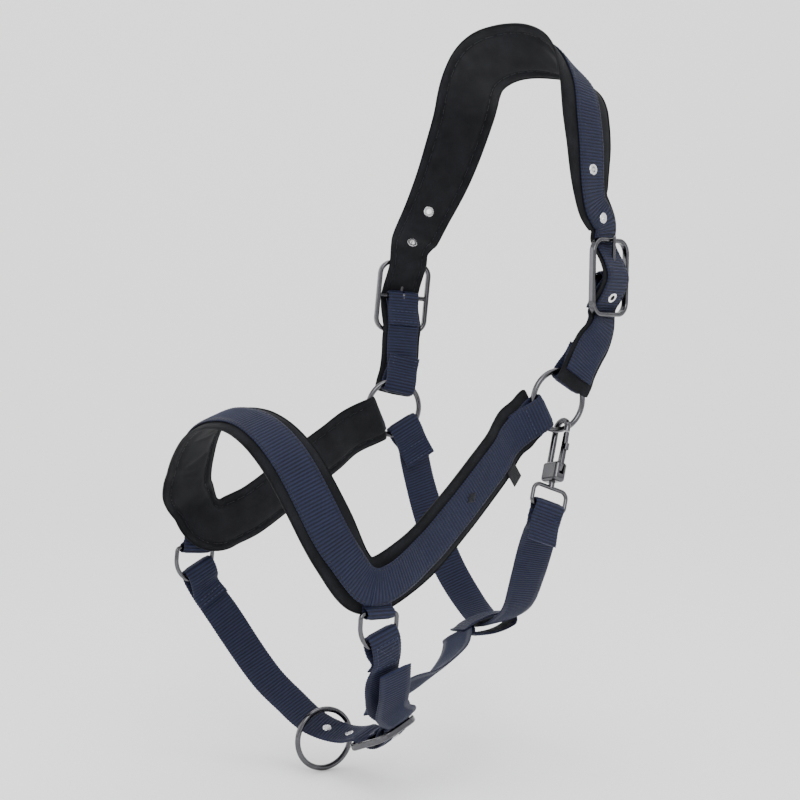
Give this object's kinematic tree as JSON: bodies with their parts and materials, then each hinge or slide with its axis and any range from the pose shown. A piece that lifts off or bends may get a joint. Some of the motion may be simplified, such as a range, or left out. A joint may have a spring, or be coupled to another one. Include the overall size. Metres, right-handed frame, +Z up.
{
  "type": "padded horse head halter",
  "caption": "Padded horse halter: lined noseband and crown on ribbed webbing, buckled crown and chin straps, throat strap with snap hook, jaw strap, round cheek and lead rings.",
  "frame": {"origin": "centre of the lead ring under the chin", "axes": "+Z up towards the poll, +X to the horse's near (left) side, +Y towards the back of the head; the horse faces -Y"},
  "size_m": [0.2135, 0.3337, 0.5325],
  "materials": {
    "navy_webbing": "ribbed nylon webbing",
    "charcoal_lining": "brushed soft lining",
    "gunmetal": "dark polished gunmetal plating",
    "bright_nickel": "bright nickel eyelets",
    "blank_tab": "plain woven tab"
  },
  "bodies": {
    "noseband": {"nose_pad": "charcoal_lining", "nose_webbing": "navy_webbing", "near_cheek_webbing": "navy_webbing", "off_cheek_webbing": "navy_webbing", "near_nose_tab": "navy_webbing", "off_nose_tab": "navy_webbing", "size_tab": "blank_tab"},
    "near_ring": {"near_cheek_ring": "gunmetal"},
    "off_ring": {"off_cheek_ring": "gunmetal"},
    "crown": {"crown_pad": "charcoal_lining", "crown_webbing": "navy_webbing", "crown_eyelets": "bright_nickel", "near_buckle_strap": "navy_webbing", "off_buckle_strap": "navy_webbing", "near_crown_buckle": "gunmetal", "off_crown_buckle": "gunmetal"},
    "near_prong": {"near_crown_prong": "gunmetal"},
    "off_prong": {"off_crown_prong": "gunmetal"},
    "near_d": {"near_d_ring": "gunmetal"},
    "off_d": {"off_d_ring": "gunmetal"},
    "chin": {"near_chin_strap": "navy_webbing", "off_chin_strap": "navy_webbing", "chin_buckle": "gunmetal", "chin_eyelets": "bright_nickel"},
    "chin_tongue": {"chin_prong": "gunmetal"},
    "lead": {"lead_ring": "gunmetal"},
    "jaw": {"jaw_strap": "navy_webbing"},
    "throat": {"throat_strap": "navy_webbing", "snap_eye": "gunmetal"},
    "snap": {"snap_body": "gunmetal", "snap_gate_pin": "gunmetal", "snap_spring": "gunmetal"},
    "gate": {"snap_gate": "gunmetal"}
  },
  "joints": [
    {"name": "crown_tilt", "type": "hinge", "parent": "noseband", "child": "crown", "pos_m": [0.015, 0.1305, 0.2313], "axis": [0.9952, 0.0058, 0.0978], "range_deg": [-6, 6]},
    {"name": "chin_swing", "type": "hinge", "parent": "noseband", "child": "chin", "pos_m": [0.0145, -0.05081, 0.09952], "axis": [0.9938, 0.0412, -0.1032], "range_deg": [-0.6, 0.15]},
    {"name": "throat_swing", "type": "hinge", "parent": "noseband", "child": "throat", "pos_m": [0.015, 0.1305, 0.2313], "axis": [0.9952, 0.0058, 0.0978], "range_deg": [-0.25, 0.07]},
    {"name": "jaw_hinge", "type": "hinge", "parent": "chin", "child": "jaw", "pos_m": [0.07955, -0.01495, 0.04287], "axis": [1, 0, 0], "range_deg": [-0.2, 0.75]},
    {"name": "lead_ring_swing", "type": "hinge", "parent": "chin", "child": "lead", "pos_m": [0, 0, 0.021], "axis": [-0.2039, 0.9179, 0.3404], "range_deg": [-8, 8]},
    {"name": "near_ring_spin", "type": "hinge", "parent": "noseband", "child": "near_ring", "pos_m": [0.1015, 0.131, 0.2398], "axis": [0.9781, -0.2079, 0], "continuous": true},
    {"name": "off_ring_spin", "type": "hinge", "parent": "noseband", "child": "off_ring", "pos_m": [-0.0715, 0.13, 0.2228], "axis": [-0.9336, 0.3584, 0], "continuous": true},
    {"name": "near_d_swing", "type": "hinge", "parent": "noseband", "child": "near_d", "pos_m": [0.1103, -0.045, 0.1125], "axis": [0, 0.9968, -0.0797], "range_deg": [-3, 3]},
    {"name": "off_d_swing", "type": "hinge", "parent": "noseband", "child": "off_d", "pos_m": [-0.0813, -0.052, 0.1323], "axis": [0, -0.9927, 0.1209], "range_deg": [-3, 3]},
    {"name": "near_prong_play", "type": "hinge", "parent": "crown", "child": "near_prong", "pos_m": [0.11, 0.174, 0.3258], "axis": [0.0994, -0.9937, 0.0527], "range_deg": [-4, 0]},
    {"name": "off_prong_play", "type": "hinge", "parent": "crown", "child": "off_prong", "pos_m": [-0.08, 0.147, 0.3078], "axis": [0.3677, 0.9242, -0.1035], "range_deg": [-4, 0]},
    {"name": "chin_prong_play", "type": "hinge", "parent": "chin", "child": "chin_tongue", "pos_m": [0.055, 0.007, 0.0138], "axis": [-0.0729, 0.9553, 0.2866], "range_deg": [-4, 0]},
    {"name": "snap_swivel", "type": "hinge", "parent": "throat", "child": "snap", "pos_m": [0.1022, 0.1342, 0.2191], "axis": [-0.133, 0.383, 0.9141], "range_deg": [-8, 8]},
    {"name": "gate_open", "type": "hinge", "parent": "snap", "child": "gate", "pos_m": [0.11131, 0.12239, 0.19365], "axis": [-0.1945, -0.9145, 0.3549], "range_deg": [0, 16], "stiffness_Nm_per_rad": 0.05, "springref_deg": -9.74}
  ],
  "couplings": [
    {"joint": "throat_swing", "follows": "chin_swing", "ratio": 0.41},
    {"joint": "jaw_hinge", "follows": "chin_swing", "ratio": -1.2}
  ]
}
